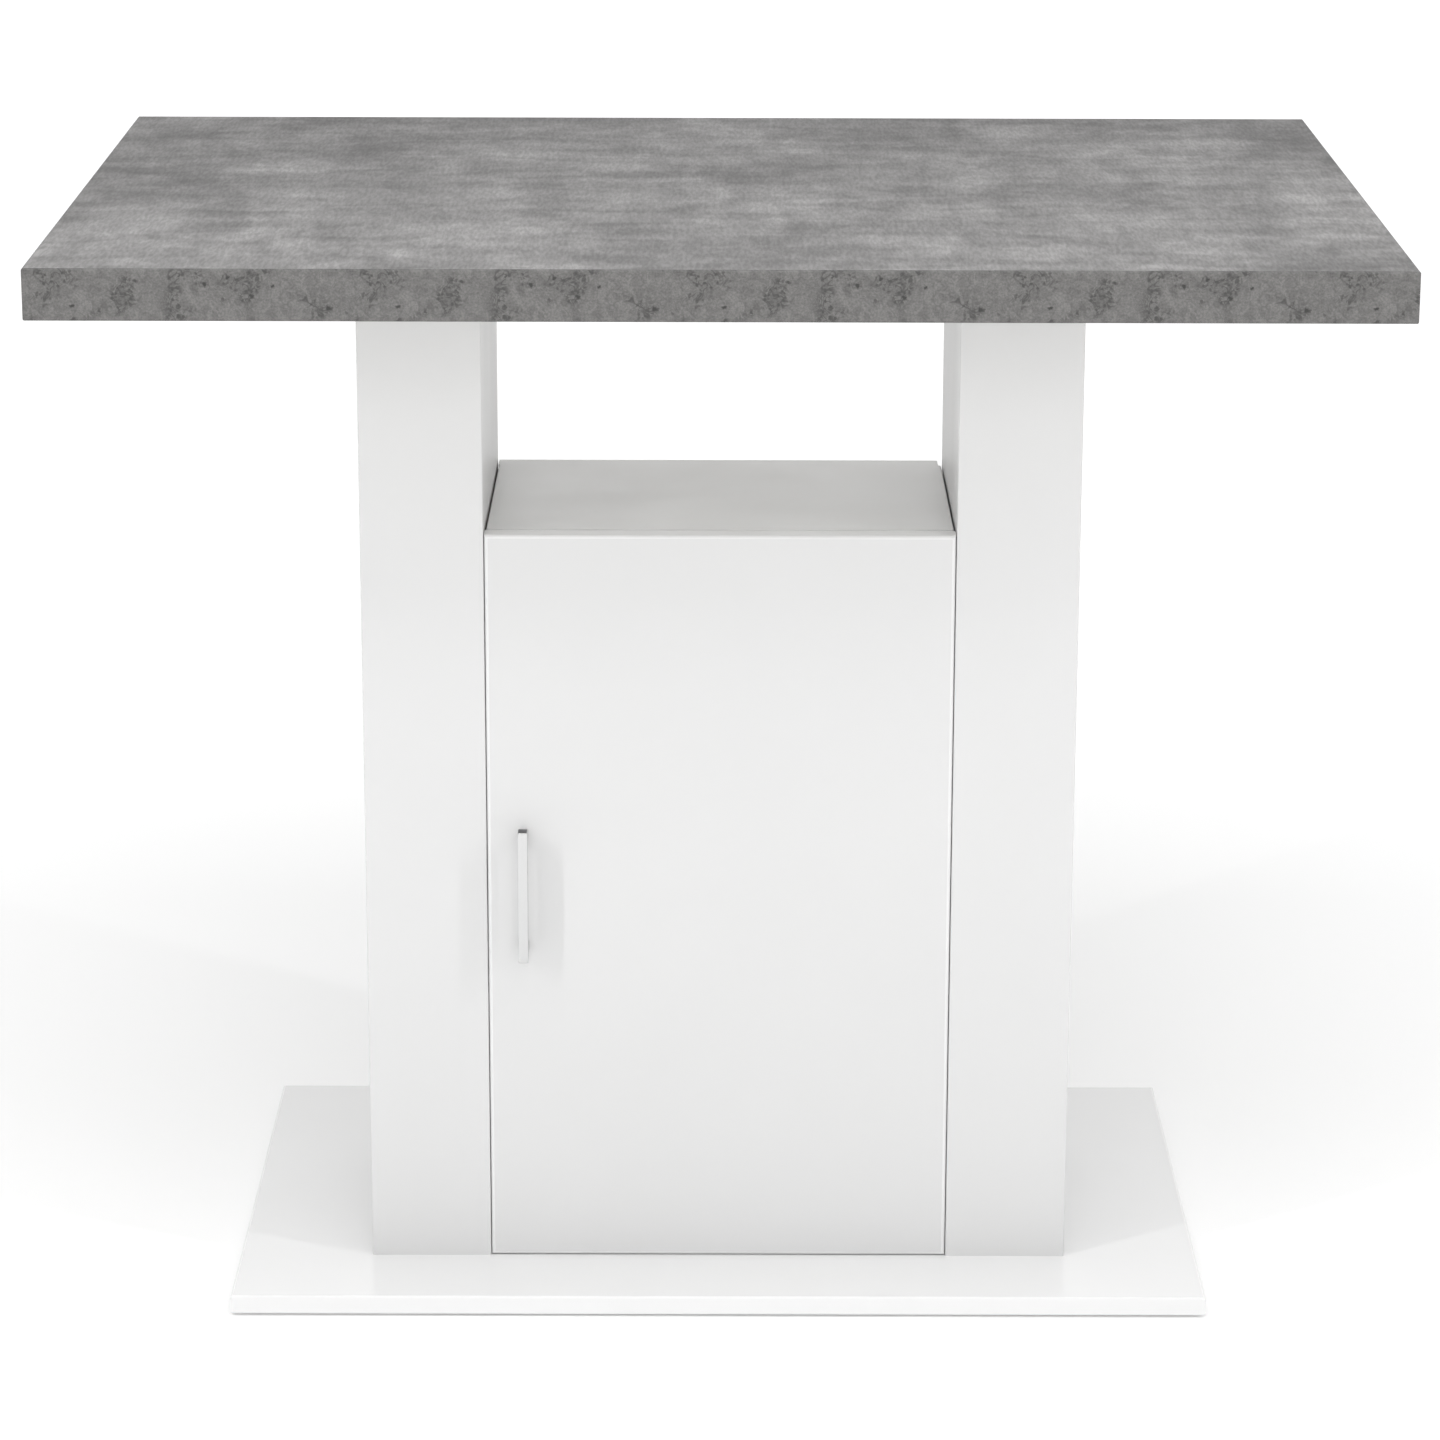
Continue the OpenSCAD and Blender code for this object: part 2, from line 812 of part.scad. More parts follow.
module hinge_adjusting_screws() {
    color(steel) at_hinges() at_arm_screws()
        machine_screw(arm_screw_l, arm_screw_d, arm_screw_head_r, arm_screw_head);
}

module hinge_plates() {
    color(steel) at_hinges() difference() {
        union() {
            block([0, plate_back, -plate_half_w], [arm_top - arm_wall, plate_front, plate_half_w]);
            place([0, -row_set_back, 0], [0, 1, 0], [1, 0, 0])
                translate([-plate_wing_w / 2, -plate_wing_l / 2, 0])
                    linear_extrude(plate_wing_t) soft_rect(plate_wing_w, plate_wing_l, wing_r);
        }
        at_arm_screws() machine_screw_hole(arm_screw_l, arm_screw_d);
        at_plate_screws() wood_screw_hole(plate_wing_t + plate_bite);
    }
}

module hinge_plate_screws() {
    color(steel) at_hinges() at_plate_screws() wood_screw(plate_wing_t + plate_bite);
}

worktop_core();
worktop_laminate();
worktop_backing();
worktop_edging();
on_left() column_front();  // left_front_panel
on_left() column_back();  // left_back_panel
on_left() column_outer();  // left_outer_side
on_left() column_inner();  // left_inner_side
on_left() column_top_block();  // left_top_block
on_left() column_foot_block();  // left_foot_block
on_left() column_dowels();  // left_column_dowels
column_front();  // right_front_panel
column_back();  // right_back_panel
column_outer();  // right_outer_side
column_inner();  // right_inner_side
column_top_block();  // right_top_block
column_foot_block();  // right_foot_block
column_dowels();  // right_column_dowels
cabinet_top();
cabinet_bottom();
cabinet_left_side();
cabinet_right_side();
cabinet_back();
inner_shelf();
shelf_pins();
cabinet_cams();
cabinet_cam_bolts();
door_panel();
door_edging();
door_buffers();
handle();
handle_screws();
hinge_cups();
hinge_cup_screws();
lower_hinge_link();
upper_hinge_link();
hinge_link_pins();
hinge_arms();
hinge_adjusting_screws();
hinge_plates();
hinge_plate_screws();
base_board();
base_edging();
base_glides();
worktop_screws();
base_column_screws();
base_cabinet_screws();
cabinet_column_screws();
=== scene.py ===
# %% [markdown]
# # A kitchen island, dressed for its portrait
#
# The island is made of flat boards: a stone-look worktop, two white columns, a closed cabinet
# between them and a base board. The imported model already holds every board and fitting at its
# real size. This lesson gives each of them its finish, models again the few small parts that need
# softer shapes than the construction has, and sets up the floor, the light and the camera.

# %% Load the frame
from math import pi, radians

import bpy
from mathutils import Matrix, Vector


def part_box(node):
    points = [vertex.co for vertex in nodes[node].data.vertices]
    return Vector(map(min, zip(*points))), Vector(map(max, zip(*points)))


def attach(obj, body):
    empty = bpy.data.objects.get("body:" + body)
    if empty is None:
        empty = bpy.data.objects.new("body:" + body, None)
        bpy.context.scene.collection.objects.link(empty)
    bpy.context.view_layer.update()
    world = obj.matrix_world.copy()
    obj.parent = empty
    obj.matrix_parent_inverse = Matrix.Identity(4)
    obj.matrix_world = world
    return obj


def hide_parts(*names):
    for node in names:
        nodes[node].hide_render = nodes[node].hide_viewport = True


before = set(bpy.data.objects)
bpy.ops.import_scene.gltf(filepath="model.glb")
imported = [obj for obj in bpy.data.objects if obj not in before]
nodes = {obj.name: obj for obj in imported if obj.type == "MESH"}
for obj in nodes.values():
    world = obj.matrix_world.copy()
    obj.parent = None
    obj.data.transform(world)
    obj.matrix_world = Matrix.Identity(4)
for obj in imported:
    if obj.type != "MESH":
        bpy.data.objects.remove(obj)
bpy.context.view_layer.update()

MM = 0.001
scene = bpy.context.scene

# %% [markdown]
# ## The camera
#
# The photograph looks straight at the door, from about four metres away and from eye height. A
# long lens so far back keeps the columns almost parallel. A camera can be made to track a point,
# but three turns follow the photograph more closely: down to the object, a hair to the side, and
# a hair round its own line of sight.

# %% Camera
CAMERA_PLACE = Vector((-3.2, -3887, 1552)) * MM
LOOK_DOWN = radians(15.934)
LOOK_ASIDE = radians(-0.054)
ROLL = radians(0.148)
LENS = 118.61

camera_data = bpy.data.cameras.new("camera")
camera_data.sensor_width = 36
camera_data.lens = LENS
camera_data.clip_end = 60
camera = bpy.data.objects.new("camera", camera_data)
scene.collection.objects.link(camera)
aim = Matrix.Rotation(LOOK_ASIDE, 3, "Z") @ Matrix.Rotation(pi / 2 - LOOK_DOWN, 3, "X")
camera.rotation_euler = (aim @ Matrix.Rotation(ROLL, 3, "Z")).to_euler()
camera.location = CAMERA_PLACE
scene.camera = camera
print("camera at", [round(v, 2) for v in CAMERA_PLACE], "m, lens", LENS, "mm")

# %% [markdown]
# ## Building a finish from nodes
#
# Every finish here is a small graph of nodes: coordinates feed a pattern, the pattern feeds a
# colour or a bump, and these feed the Principled shader. One helper adds a node, sets its
# options and fills its inputs, either with a plain value or with another node's output. That
# keeps each finish below to a few lines that read from left to right.

# %% Node helpers
def new_finish(name, roughness, metallic=0.0):
    """An empty material with a Principled shader, and the shader itself."""
    finish = bpy.data.materials.new(name)
    finish.use_nodes = True
    shader = finish.node_tree.nodes["Principled BSDF"]
    shader.inputs["Roughness"].default_value = roughness
    shader.inputs["Metallic"].default_value = metallic
    return finish, shader


def add(finish, kind, inputs=None, **options):
    """Adds a node. An input is a value, or an output socket to link from."""
    node = finish.node_tree.nodes.new(kind)
    for name, value in options.items():
        setattr(node, name, value)
    for key, value in (inputs or {}).items():
        if isinstance(value, bpy.types.NodeSocket):
            finish.node_tree.links.new(value, node.inputs[key])
        else:
            node.inputs[key].default_value = value
    return node


def link(finish, output, shader, socket):
    finish.node_tree.links.new(output, shader.inputs[socket])

# %% [markdown]
# ## Where a pattern lies
#
# A pattern needs coordinates. Object coordinates are metres in the island's own frame, so a
# grain of one millimetre is one millimetre on every board, and it rides along when the door
# turns. Noise is the pattern for almost everything here: plain, it makes clouds and grain, and
# stretched, it makes wisps and brushed lines.

# %% Coordinates and noise
def object_place(finish, stretch=(1, 1, 1), move=(0, 0, 0)):
    """Object coordinates in metres, stretched and moved."""
    place = add(finish, "ShaderNodeTexCoord").outputs["Object"]
    inputs = {"Vector": place, "Scale": stretch, "Location": move}
    return add(finish, "ShaderNodeMapping", inputs).outputs["Vector"]


def noise(finish, place, size, detail=2.0, rough=0.5, bend=0.0):
    """Cloudy noise whose blotches are about size metres across."""
    inputs = {"Vector": place, "Scale": 1 / size, "Detail": detail, "Roughness": rough,
              "Distortion": bend}
    return add(finish, "ShaderNodeTexNoise", inputs).outputs["Fac"]

# %% [markdown]
# ## From a pattern to a look
#
# A noise is only a number between 0 and 1. A colour ramp turns it into a colour, or into a grey
# that serves as roughness. A bump node turns it into dents that tilt the light. Real dents would
# need a very fine mesh, and for marks this shallow the bump gives the same picture.

# %% Ramp, bump and give
def ramp(finish, value, stops, smooth=False):
    """Turns a value into a colour or a grey by a list of (position, colour) stops."""
    node = add(finish, "ShaderNodeValToRGB", {"Fac": value})
    if smooth:
        node.color_ramp.interpolation = "EASE"
    elements = node.color_ramp.elements
    while len(elements) < len(stops):
        elements.new(0.5)
    for element, (position, colour) in zip(elements, stops):
        element.position = position
        element.color = (*colour, 1) if isinstance(colour, tuple) else (colour, colour, colour, 1)
    return node.outputs["Color"]


def bump(finish, height, depth, strength=1.0, under=None):
    """A bump of depth metres, laid over another one if given."""
    inputs = {"Height": height, "Distance": depth, "Strength": strength}
    if under is not None:
        inputs["Normal"] = under
    return add(finish, "ShaderNodeBump", inputs).outputs["Normal"]


def give(finish, *names):
    """Puts a finish on CAD nodes."""
    for name in names:
        nodes[name].data.materials.clear()
        nodes[name].data.materials.append(finish)
    print(finish.name, "on", len(names), "nodes")

# %% [markdown]
# ## White board
#
# The columns, the cabinet, the door and the base are board with a satin white foil. Such a foil
# isn't flat: it has a very fine pressed grain and the board under it waves a little, so
# highlights break up softly. A fine noise makes the grain, a broad one the waves, a third varies
# the gloss like the marks of a cloth, and the broadest lets the white drift a little. One recipe
# serves them all, with a white of its own for the fronts, the cabinet, the edging and the base
# board. These whites are painted light: the cabinet, the door edging, the base board and its
# edging are lighter than the fronts, so that the shaded shelf in the niche, the flanks beside the
# door's seams and the base board's top come out brighter. The base board is the smoothest of
# them: at a low angle it mirrors the columns faintly.

# %% White board finish
# CABINET_WHITE, EDGING_WHITE and the two base whites are painted light: lighter than the fronts to
# brighten shaded parts.
FRONT_WHITE, CABINET_WHITE, EDGING_WHITE = 0.665, 0.745, 0.76
BASE_WHITE, BASE_EDGE_WHITE = 0.782, 0.8
PRESSED_GRAIN, EDGING_GRAIN = 0.8 * MM, 1.6 * MM


def white_board(name, white, grain, gloss):
    finish, shader = new_finish(name, gloss)
    place = object_place(finish)
    cloud = noise(finish, place, 180 * MM, 3)
    shade = white * 0.985
    link(finish, ramp(finish, cloud, [(0.3, shade), (0.7, white)]), shader, "Base Color")
    wipe = noise(finish, object_place(finish, (1, 1, 0.3)), 60 * MM, 4)
    sheen = ramp(finish, wipe, [(0.3, gloss - 0.04), (0.7, gloss + 0.05)])
    link(finish, sheen, shader, "Roughness")
    waves = bump(finish, noise(finish, place, 45 * MM), 0.05 * MM, 0.35)
    pressed = bump(finish, noise(finish, place, grain, 2), 0.012 * MM, 0.3, waves)
    link(finish, pressed, shader, "Normal")
    return finish


sides = [n for n in nodes if n.startswith(("left_", "right_")) and n.endswith(("_panel", "_side"))]
give(white_board("white_front_board", FRONT_WHITE, PRESSED_GRAIN, 0.4), "door_panel", *sides)
give(white_board("white_carcass_board", CABINET_WHITE, PRESSED_GRAIN, 0.4),
     "cabinet_top", "cabinet_bottom", "cabinet_left_side", "cabinet_right_side",
     "cabinet_back", "inner_shelf")
give(white_board("white_door_edging", EDGING_WHITE, EDGING_GRAIN, 0.36), "door_edging")
give(white_board("white_base_board", BASE_WHITE, PRESSED_GRAIN, 0.13), "base_board")
give(white_board("white_base_edging", BASE_EDGE_WHITE, EDGING_GRAIN, 0.36), "base_edging")

# %% [markdown]
# ## Lighter and darker stone
#
# A stone print is one grey that is lightened and darkened by several patterns, one over the
# other. One ramp with all the greys would do for a single pattern. For a stack of them the
# overlay blend is handier, because where a pattern is mid grey it leaves the colour as it is, so
# each layer keeps a strength of its own.

# %% Blending colours
def mix(finish, kind, amount, a, b):
    """Mixes two colours by the blend mode of this kind."""
    node = add(finish, "ShaderNodeMix", data_type="RGBA", blend_type=kind)
    for key, value in ((0, amount), (6, a), (7, b)):
        if isinstance(value, bpy.types.NodeSocket):
            finish.node_tree.links.new(value, node.inputs[key])
        else:
            node.inputs[key].default_value = value if key == 0 else (*value, 1)
    return node.outputs[2]


def weather(finish, colour, pattern, spread, depth):
    """Lightens and darkens a colour by depth. Spread is how far from 0.5 the pattern runs."""
    stops = [(0.5 - spread, 0.5 - depth / 2), (0.5 + spread, 0.5 + depth / 2)]
    return mix(finish, "OVERLAY", 1.0, colour, ramp(finish, pattern, stops, smooth=True))

# %% [markdown]
# ## Stone-look worktop
#
# The worktop's laminate is printed like smoothed concrete: broad clouds, long pale wisps from
# side to side, and a sandy grain that is drawn out from front to back as if by a trowel. Five
# noises make it, each finer than the one before, and their coordinates are stretched the way
# each of them is drawn out. The print is dull, so the light behind it hardly mirrors in it.

# %% Stone laminate
STONE = (0.213, 0.209, 0.207)


def stone_laminate():
    finish, shader = new_finish("stone_laminate", 0.62)
    shader.inputs["Specular IOR Level"].default_value = 0.08
    even = object_place(finish, (1, 1, 1), (2.1, 3.3, 0))
    drawn_back = object_place(finish, (1, 0.55, 1), (0.8, 0.1, 0))
    drawn_across = object_place(finish, (0.45, 1, 1), (1.7, 0.2, 0))
    trowelled = object_place(finish, (1, 0.18, 1), (0.3, 0.7, 0))
    clouds = noise(finish, even, 210 * MM, 2, 0.5, 0.5)
    blotches = noise(finish, drawn_back, 60 * MM, 3, 0.5, 0.8)
    wisps = noise(finish, drawn_across, 34 * MM, 1.5, 0.5, 0.6)
    smudges = noise(finish, trowelled, 14 * MM, 4, 0.6, 0.5)
    grain = noise(finish, trowelled, 2.6 * MM, 2, 0.6)
    layers = ((clouds, 0.2, 0.16), (blotches, 0.2, 0.14), (wisps, 0.25, 0.16),
              (smudges, 0.2, 0.12), (grain, 0.2, 0.14))
    colour = STONE
    for pattern, spread, depth in layers:
        colour = weather(finish, colour, pattern, spread, depth)
    link(finish, colour, shader, "Base Color")
    link(finish, ramp(finish, smudges, [(0.3, 0.56), (0.7, 0.68)]), shader, "Roughness")
    link(finish, bump(finish, grain, 0.03 * MM, 0.4), shader, "Normal")
    return finish


give(stone_laminate(), "worktop_laminate")

# %% [markdown]
# ## Worktop edging
#
# The edging shows the same stone as if it had been sawn: darker, with pits and hairline cracks
# that lie in clusters. It is a printed strip on a roll, so the print starts again every 245 mm,
# and on the real worktop one can see the dark cluster return. An unwrapped map of the strip could
# give that. A wrapped coordinate that runs round the worktop's sides is simpler, because the
# mesh from the construction has no map and stays as it is.

# %% Edging strip
PRINT_REPEAT = 245 * MM
PRINT_START = 30 * MM


def along_edging(finish):
    """X along the strip, which starts again at each repeat, and Y up its height."""
    parts = add(finish, "ShaderNodeSeparateXYZ", {0: object_place(finish)}).outputs
    run = add(finish, "ShaderNodeMath", {0: parts["X"], 1: parts["Y"]}, operation="ADD").outputs[0]
    inputs = {0: run, 1: PRINT_START + PRINT_REPEAT, 2: PRINT_START}
    repeated = add(finish, "ShaderNodeMath", inputs, operation="WRAP").outputs[0]
    return add(finish, "ShaderNodeCombineXYZ", {"X": repeated, "Y": parts["Z"]}).outputs[0]


def moved(finish, place, by):
    return add(finish, "ShaderNodeMapping", {"Vector": place, "Location": by}).outputs["Vector"]

# %% [markdown]
# ## Cracks and pits
#
# Cracks are the places where a noise passes through its middle value, and pits are the centres
# of flat Voronoi cells, of which only some are kept. Each is a mask that is white on the marks.
# Masks are multiplied, so that a mark shows only where all of them are white.

# %% Marks in the stone
def multiply(finish, *masks):
    product = masks[0]
    for mask in masks[1:]:
        product = mix(finish, "MULTIPLY", 1.0, product, mask)
    return product


def hairlines(finish, place, size, width):
    """1 along winding lines, where a noise passes 0.5, and 0 beside them."""
    wave = noise(finish, place, size, 2, 0.6, 1.2)
    return ramp(finish, wave, [(0.5 - width, 0.0), (0.5, 1.0), (0.5 + width, 0.0)])


def pits(finish, place, spacing, radius, kept):
    """1 in ragged spots, 0 outside. Only the given share of the cells has one."""
    inputs = {"Vector": place, "Scale": 1 / (radius * 1.5), "Detail": 2.0}
    ragged = add(finish, "ShaderNodeTexNoise", inputs)
    shift = add(finish, "ShaderNodeVectorMath", {0: ragged.outputs["Color"], 1: (radius * 2,) * 3},
                operation="MULTIPLY").outputs[0]
    bent = add(finish, "ShaderNodeVectorMath", {0: place, 1: shift}, operation="ADD").outputs[0]
    cells = add(finish, "ShaderNodeTexVoronoi", {"Vector": bent, "Scale": 1 / spacing},
                voronoi_dimensions="2D")
    edge = radius / spacing
    spots = ramp(finish, cells.outputs["Distance"], [(edge * 0.5, 1.0), (edge, 0.0)])
    lot = add(finish, "ShaderNodeSeparateColor", {0: cells.outputs["Color"]}).outputs[0]
    return multiply(finish, spots, ramp(finish, lot, [(1 - kept, 0.0), (1.01 - kept, 1.0)]))

# %% [markdown]
# ## Colours of the edging
#
# Over a darker grey come the same kinds of layer as on the worktop, only finer. Cracks and small
# pits keep to the patches, where the sawn stone is coarser, and a few deep pits lie anywhere.

# %% Stone edging
EDGE_STONE = (0.115, 0.112, 0.109)
CRACK = (0.046, 0.045, 0.043)
PIT = (0.028, 0.027, 0.026)


def stone_edging():
    finish, shader = new_finish("stone_edging", 0.5)
    place = along_edging(finish)
    patches = noise(finish, moved(finish, place, (0.4, 0.2, 0)), 30 * MM, 2, 0.5)
    clusters = ramp(finish, patches, [(0.49, 0.0), (0.56, 1.0)])
    mottle = noise(finish, place, 8 * MM, 4, 0.6, 1.0)
    grain = noise(finish, place, 1.7 * MM, 3, 0.7)
    colour = weather(finish, EDGE_STONE, patches, 0.2, -0.1)
    colour = weather(finish, colour, mottle, 0.17, 0.17)
    colour = weather(finish, colour, grain, 0.2, 0.22)
    breaks = noise(finish, moved(finish, place, (0.9, 0.3, 0)), 6 * MM)
    cracks = multiply(finish, hairlines(finish, place, 9 * MM, 0.085), clusters,
                      ramp(finish, breaks, [(0.4, 0.0), (0.48, 1.0)]))
    deep = pits(finish, moved(finish, place, (0.1, 0.6, 0)), 17 * MM, 2.1 * MM, 0.25)
    small = multiply(finish, pits(finish, place, 5 * MM, 1.4 * MM, 0.6), clusters)
    for marks, dark in ((cracks, CRACK), (small, CRACK), (deep, PIT)):
        colour = mix(finish, "MIX", marks, colour, dark)
    link(finish, colour, shader, "Base Color")
    link(finish, bump(finish, mottle, 0.08 * MM, 0.4), shader, "Normal")
    return finish


give(stone_edging(), "worktop_edging")

# %% [markdown]
# ## Inside the worktop
#
# What the boards hide gets an honest finish too. The worktop's core is pressed chips: Voronoi
# cells come close to them, as each cell has a colour of its own. A smooth backing sheet closes
# the core from below, and a faint cloudiness is enough for it.

# %% Chips and backing sheet
def chipboard():
    finish, shader = new_finish("pressed_chips", 0.8)
    cells = add(finish, "ShaderNodeTexVoronoi",
                {"Vector": object_place(finish), "Scale": 1 / (3 * MM)})
    chips = ramp(finish, cells.outputs["Color"],
                 [(0.2, (0.42, 0.29, 0.16)), (0.8, (0.72, 0.56, 0.36))])
    link(finish, chips, shader, "Base Color")
    link(finish, bump(finish, cells.outputs["Distance"], 0.2 * MM, 0.4), shader, "Normal")
    return finish


def backing_sheet():
    finish, shader = new_finish("smooth_backing", 0.5)
    place = object_place(finish)
    tone = noise(finish, place, 8 * MM, 4)
    greys = ramp(finish, tone, [(0.3, (0.62, 0.61, 0.58)), (0.7, (0.68, 0.67, 0.64))])
    link(finish, greys, shader, "Base Color")
    link(finish, bump(finish, noise(finish, place, 1 * MM), 0.02 * MM, 0.4), shader, "Normal")
    return finish


give(chipboard(), "worktop_core")
give(backing_sheet(), "worktop_backing")

# %% [markdown]
# ## Raw wood
#
# Softwood blocks take the screws at both ends of a column, and beech dowels hold its boards. The
# grain is one noise that is drawn out from front to back, which is how the blocks and dowels
# lie. A wave texture would draw rings too, but on pieces this small only the fibres show.

# %% Blocks and dowels
def raw_wood(name, stretch):
    finish, shader = new_finish(name, 0.65)
    place = object_place(finish, stretch)
    grain = noise(finish, place, 3 * MM, 5, 0.6, 0.6)
    browns = ramp(finish, grain, [(0.3, (0.5, 0.34, 0.18)), (0.7, (0.74, 0.56, 0.35))])
    link(finish, browns, shader, "Base Color")
    link(finish, bump(finish, grain, 0.1 * MM, 0.4), shader, "Normal")
    return finish


blocks = [n for n in nodes if n.endswith("_block")]
give(raw_wood("softwood", (1, 0.08, 1)), *blocks)
give(raw_wood("beech", (1, 0.15, 1)), "left_column_dowels", "right_column_dowels")

# %% [markdown]
# ## Plated steel
#
# Screws, cams and bolts are plated with zinc. The hinges with their own screws and the shelf pins
# are plated with nickel, which is a little brighter and warmer. Plating is a metal with faint
# stains, so the shader is fully metallic, and one noise shades its colour while another varies
# its gloss.

# %% Fittings
def plated_steel(name, tone, gloss):
    finish, shader = new_finish(name, gloss, 1.0)
    place = object_place(finish)
    stain = noise(finish, place, 5 * MM, 4)
    dark = tuple(v * 0.86 for v in tone)
    link(finish, ramp(finish, stain, [(0.3, dark), (0.7, tone)]), shader, "Base Color")
    scuffs = noise(finish, object_place(finish, (1, 1, 6)), 2 * MM, 3)
    sheen = ramp(finish, scuffs, [(0.3, gloss - 0.06), (0.7, gloss + 0.1)])
    link(finish, sheen, shader, "Roughness")
    link(finish, bump(finish, noise(finish, place, 0.5 * MM), 0.01 * MM, 0.3), shader, "Normal")
    return finish


zinc = plated_steel("zinc_plate", (0.62, 0.63, 0.64), 0.34)
nickel = plated_steel("nickel_plate", (0.72, 0.7, 0.66), 0.37)
hinges = [n for n in nodes if n.startswith("hinge_") or n.endswith("_link")]
screws = [n for n in nodes if n.endswith("_screws") and n not in hinges]
give(zinc, *screws, "cabinet_cams", "cabinet_cam_bolts")
give(nickel, *hinges, "shelf_pins")

# %% [markdown]
# ## Moulded plastic
#
# The glides under the base and the buffers on the door are small mouldings. Plastic has an even
# colour with a little sheen, so only a faint cloudiness and a fine skin are added.

# %% Moulded finishes
def moulded(name, tone, gloss):
    finish, shader = new_finish(name, gloss)
    place = object_place(finish)
    shade = tuple(v * 0.94 for v in tone)
    cloud = noise(finish, place, 6 * MM)
    link(finish, ramp(finish, cloud, [(0.3, shade), (0.7, tone)]), shader, "Base Color")
    link(finish, bump(finish, noise(finish, place, 0.4 * MM), 0.02 * MM, 0.5), shader, "Normal")
    return finish


give(moulded("glide_plastic", (0.6, 0.6, 0.58), 0.45), "base_glides")
clear_rubber = moulded("clear_rubber", (0.68, 0.68, 0.68), 0.3)
clear_rubber.node_tree.nodes["Principled BSDF"].inputs["Transmission Weight"].default_value = 0.4
print(clear_rubber.name, "waits for the buffers")

# %% [markdown]
# ## Modelling as by hand
#
# New pieces are made with Blender's own operators, the ones a person would click. A block is
# added between two corners, faces are picked by the way they look or where they lie, and a bevel
# on all sharp arrises comes last. Real arrises are never quite sharp, and the thin bright line
# that they catch is what makes a small part look real. Three helpers do these steps.

# %% Modelling helpers
def box_between(name, low, high):
    """A block between two corners. Its object stays at the origin."""
    bpy.ops.object.select_all(action="DESELECT")
    bpy.ops.mesh.primitive_cube_add(size=1, location=(low + high) / 2, scale=high - low)
    piece = bpy.context.object
    piece.name = name
    bpy.ops.object.transform_apply(location=True, rotation=True, scale=True)
    return piece


def select_faces(piece, test):
    """Enters edit mode with just the faces selected that pass the test."""
    bpy.ops.object.mode_set(mode="EDIT")
    bpy.ops.mesh.select_mode(type="FACE")
    bpy.ops.mesh.select_all(action="DESELECT")
    bpy.ops.object.mode_set(mode="OBJECT")
    for face in piece.data.polygons:
        face.select = test(face)
    bpy.ops.object.mode_set(mode="EDIT")


def soften(piece, width, segments, angle=radians(30)):
    """Bevels all sharp arrises and shades the rest smooth."""
    bevel = piece.modifiers.new("arrises", "BEVEL")
    bevel.width = width
    bevel.segments = segments
    bevel.limit_method = "ANGLE"
    bevel.angle_limit = angle
    bpy.ops.object.modifier_apply(modifier=bevel.name)
    bpy.ops.object.shade_smooth_by_angle(angle=angle)

# %% [markdown]
# ## The handle
#
# The handle is a slim square bar of bright metal on two short legs. What sells it in the
# photograph is its crisp outline: each long arris catches the light as a thin bright line, and
# the top end is dark. That dark end is painted shade: the end faces get a dark finish where the
# bright metal would mirror the shaded worktop above. Three joined blocks would leave walls
# hidden inside. Instead one block is cut at the legs' heights and the rear faces there are
# pulled back to the door, which keeps it one closed skin. A fine bevel then breaks every arris.

# %% Handle bar and legs
BAR_DEPTH = 12 * MM
LEG_W = 8 * MM
LEG_PITCH = 96 * MM
HANDLE_ARRIS = 0.5 * MM
handle_low, handle_high = (Vector(v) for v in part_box("handle"))
bar_back = handle_low.y + BAR_DEPTH
mid_z = (handle_low.z + handle_high.z) / 2
leg_zs = [mid_z - LEG_PITCH / 2, mid_z + LEG_PITCH / 2]

handle = box_between("handle_bar", handle_low, Vector((handle_high.x, bar_back, handle_high.z)))
bpy.ops.object.mode_set(mode="EDIT")
for leg_z in leg_zs:
    for side in (-0.5, 0.5):
        bpy.ops.mesh.select_all(action="SELECT")
        bpy.ops.mesh.bisect(plane_co=(0, 0, leg_z + side * LEG_W), plane_no=(0, 0, 1))
bpy.ops.object.mode_set(mode="OBJECT")


def is_leg_root(face):
    return face.normal.y > 0.9 and any(abs(face.center.z - leg_z) < LEG_W / 2 for leg_z in leg_zs)


select_faces(handle, is_leg_root)
pull = {"value": (0, handle_high.y - bar_back, 0)}
bpy.ops.mesh.extrude_region_move(TRANSFORM_OT_translate=pull)
bpy.ops.object.mode_set(mode="OBJECT")
soften(handle, HANDLE_ARRIS, 3)
reach = round((handle_high.y - handle_low.y) / MM)
print("handle", len(handle.data.polygons), "faces, reach", reach, "mm")

# %% [markdown]
# ## The handle's metal
#
# The bar is drawn metal, so its gloss runs in very fine lines along it. Its ends get a dull dark
# finish, which is painted shade: it stands for the shaded worktop above that the bright ends
# would mirror. Both could be one finish with a mask, but two materials on one piece are simpler:
# the end faces are found by their place and their normal.

# %% Handle finishes
def brushed_metal(name, tone, gloss):
    """Bright metal with fine lines along the bar."""
    finish, shader = new_finish(name, gloss, 1.0)
    drawn = noise(finish, object_place(finish, (1, 1, 0.02)), 0.5 * MM, 3)
    cloud = noise(finish, object_place(finish, (1, 1, 0.3)), 12 * MM, 2)
    link(finish, ramp(finish, cloud, [(0.3, tone * 0.985), (0.7, tone)]), shader, "Base Color")
    sheen = ramp(finish, drawn, [(0.3, gloss - 0.03), (0.7, gloss + 0.05)])
    link(finish, sheen, shader, "Roughness")
    link(finish, bump(finish, drawn, 0.004 * MM, 0.2), shader, "Normal")
    return finish


handle.data.materials.append(brushed_metal("bright_metal", 0.6, 0.2))
